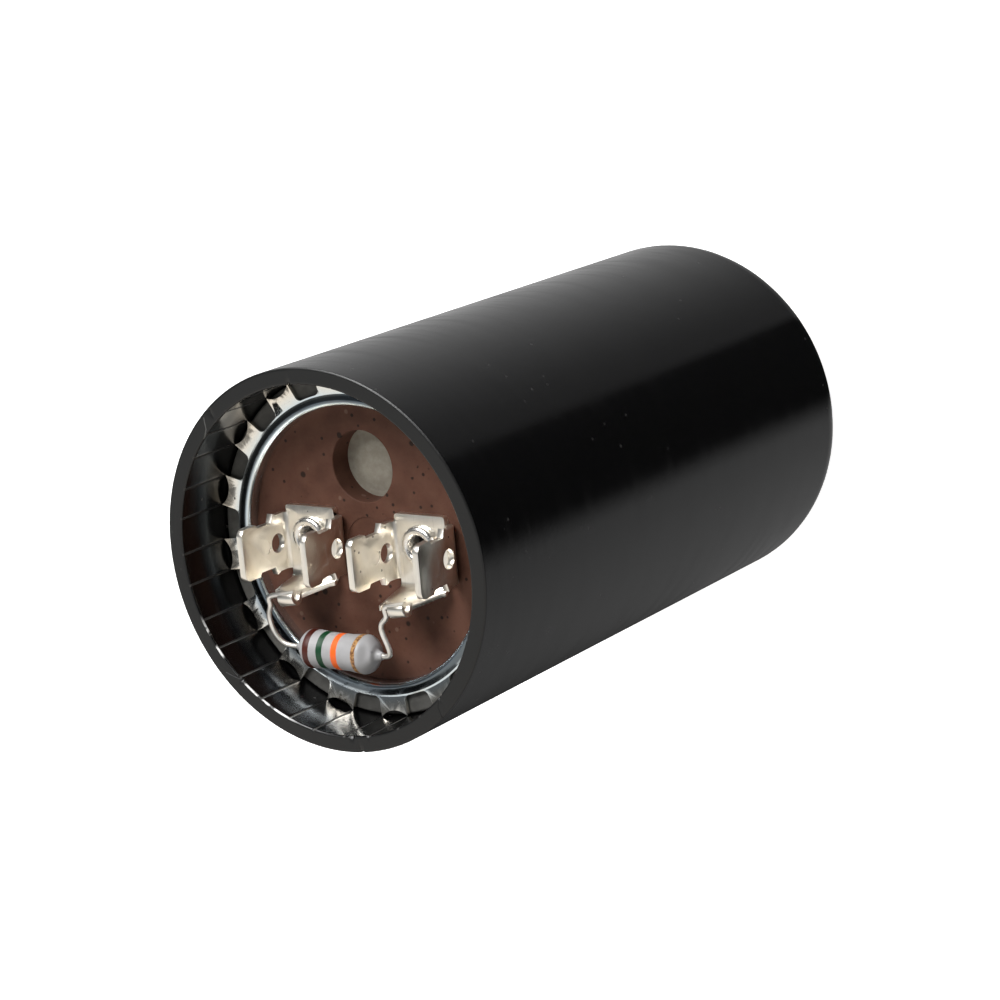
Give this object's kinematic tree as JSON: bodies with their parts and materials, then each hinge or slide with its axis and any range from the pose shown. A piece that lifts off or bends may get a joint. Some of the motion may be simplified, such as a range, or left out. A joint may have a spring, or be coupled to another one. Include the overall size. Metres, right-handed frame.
{
  "type": "motor start capacitor",
  "caption": "Round black start capacitor with a recessed header, push-on blade terminals, vent hole and a bleed resistor held by a toothed ring.",
  "frame": {"origin": "centre of the closed end, on the surface it stands on", "axes": "+Z along the case, out of its open mouth; +X from the left rivet to the right rivet; +Y towards the vent hole"},
  "size_m": [0.046, 0.046, 0.085],
  "materials": {
    "black_phenolic": "semi-gloss moulded phenolic, flat on the rim",
    "brown_phenolic": "matt paper phenolic with dark specks",
    "grey_rubber": "smooth pale grey rubber",
    "dark_rubber": "dark grey rubber",
    "zinc_steel": "bright zinc plate on spring steel",
    "tin_plate": "satin tin plate",
    "rivet_metal": "plated tubular rivet",
    "resistor_coat": "light grey resistor coating with four colour bands",
    "lead_wire": "tinned wire",
    "foil": "plain aluminium",
    "wound_foil": "foil and paper, seen on its ends",
    "paper": "kraft paper",
    "pitch": "black pitch"
  },
  "bodies": {
    "root": {"case": "black_phenolic", "terminal_disc": "brown_phenolic", "rubber_backing": "grey_rubber", "seal_ring": "dark_rubber", "retaining_ring": "zinc_steel", "terminal_left": "tin_plate", "terminal_right": "tin_plate", "rivet_left": "rivet_metal", "rivet_right": "rivet_metal", "washer_left": "foil", "washer_right": "foil", "foil_tab_left": "foil", "foil_tab_right": "foil", "resistor_body": "resistor_coat", "resistor_lead_left": "lead_wire", "resistor_lead_right": "lead_wire", "winding": "wound_foil", "winding_wrap": "paper", "top_insulator": "paper", "bottom_insulator": "paper", "potting": "pitch"}
  },
  "joints": []
}
